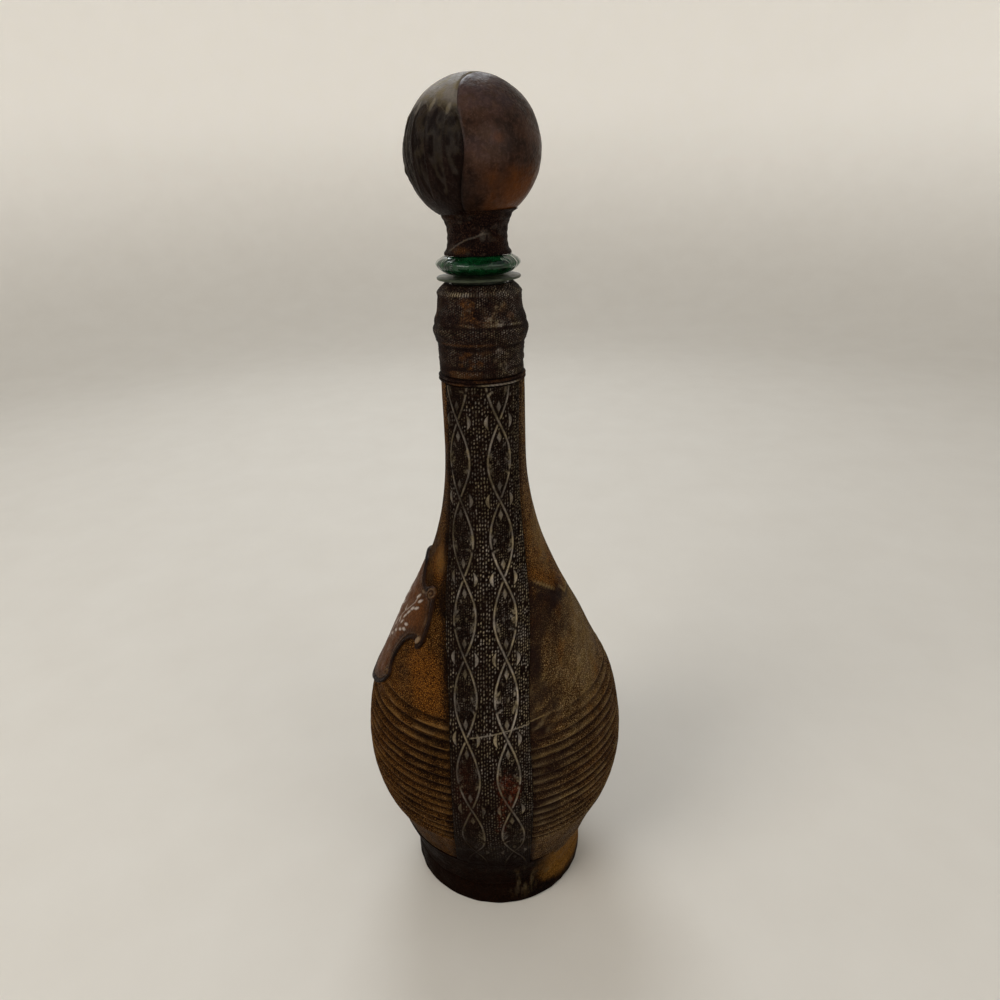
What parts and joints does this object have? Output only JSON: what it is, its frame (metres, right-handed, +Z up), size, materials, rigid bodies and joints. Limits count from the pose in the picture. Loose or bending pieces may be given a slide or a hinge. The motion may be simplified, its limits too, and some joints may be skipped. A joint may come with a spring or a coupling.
{
  "type": "leather-wrapped decanter",
  "caption": "Long-necked glass decanter wrapped in ribbed and tooled leather, with a shield on its front and a leather-covered ball stopper in a plastic seal.",
  "frame": {"origin": "centre of the base on the surface that the bottle stands on", "axes": "+Z up along the bottle's axis, -Y towards the front with the shield, +X towards the tooled side strip that the picture shows"},
  "size_m": [0.1154, 0.1148, 0.3405],
  "materials": {
    "green_glass": "clear emerald green, glossy",
    "tan_leather": "grained, waxed, amber tan",
    "brown_leather": "grained, waxed, brown with dark antique stain",
    "tooled_leather": "near-black, stippled and tooled, worn light on its ridges",
    "collar_leather": "dark brown, stippled",
    "foot_leather": "dark brown, scuffed to tan",
    "shield_leather": "moulded, amber field and dark rim, silver painted sprig",
    "waxed_leather": "smooth, waxed, glossy brown",
    "base_felt": "dark felt",
    "grey_plastic": "translucent grey"
  },
  "bodies": {
    "bottle": {"glass_bottle": "green_glass", "front_panel": "tan_leather", "back_panel": "brown_leather", "side_strip_right": "tooled_leather", "side_strip_left": "tooled_leather", "neck_collar": "collar_leather", "collar_ring": "collar_leather", "foot_band": "foot_leather", "base_pad": "base_felt", "shield_plaque": "shield_leather"},
    "seal": {"stopper_seal": "grey_plastic"},
    "stopper": {"stopper_glass": "green_glass", "stem_wrap": "collar_leather", "ball_strip": "tooled_leather", "ball_panel_back": "waxed_leather", "ball_panel_front": "waxed_leather"}
  },
  "joints": [
    {"name": "stopper_lift", "type": "slide", "parent": "bottle", "child": "seal", "axis": [0, 0, 1], "range_m": [0, 0.05]},
    {"name": "stopper_twist", "type": "hinge", "parent": "seal", "child": "stopper", "pos_m": [0, 0, 0.2761], "axis": [0, 0, 1], "continuous": true}
  ]
}
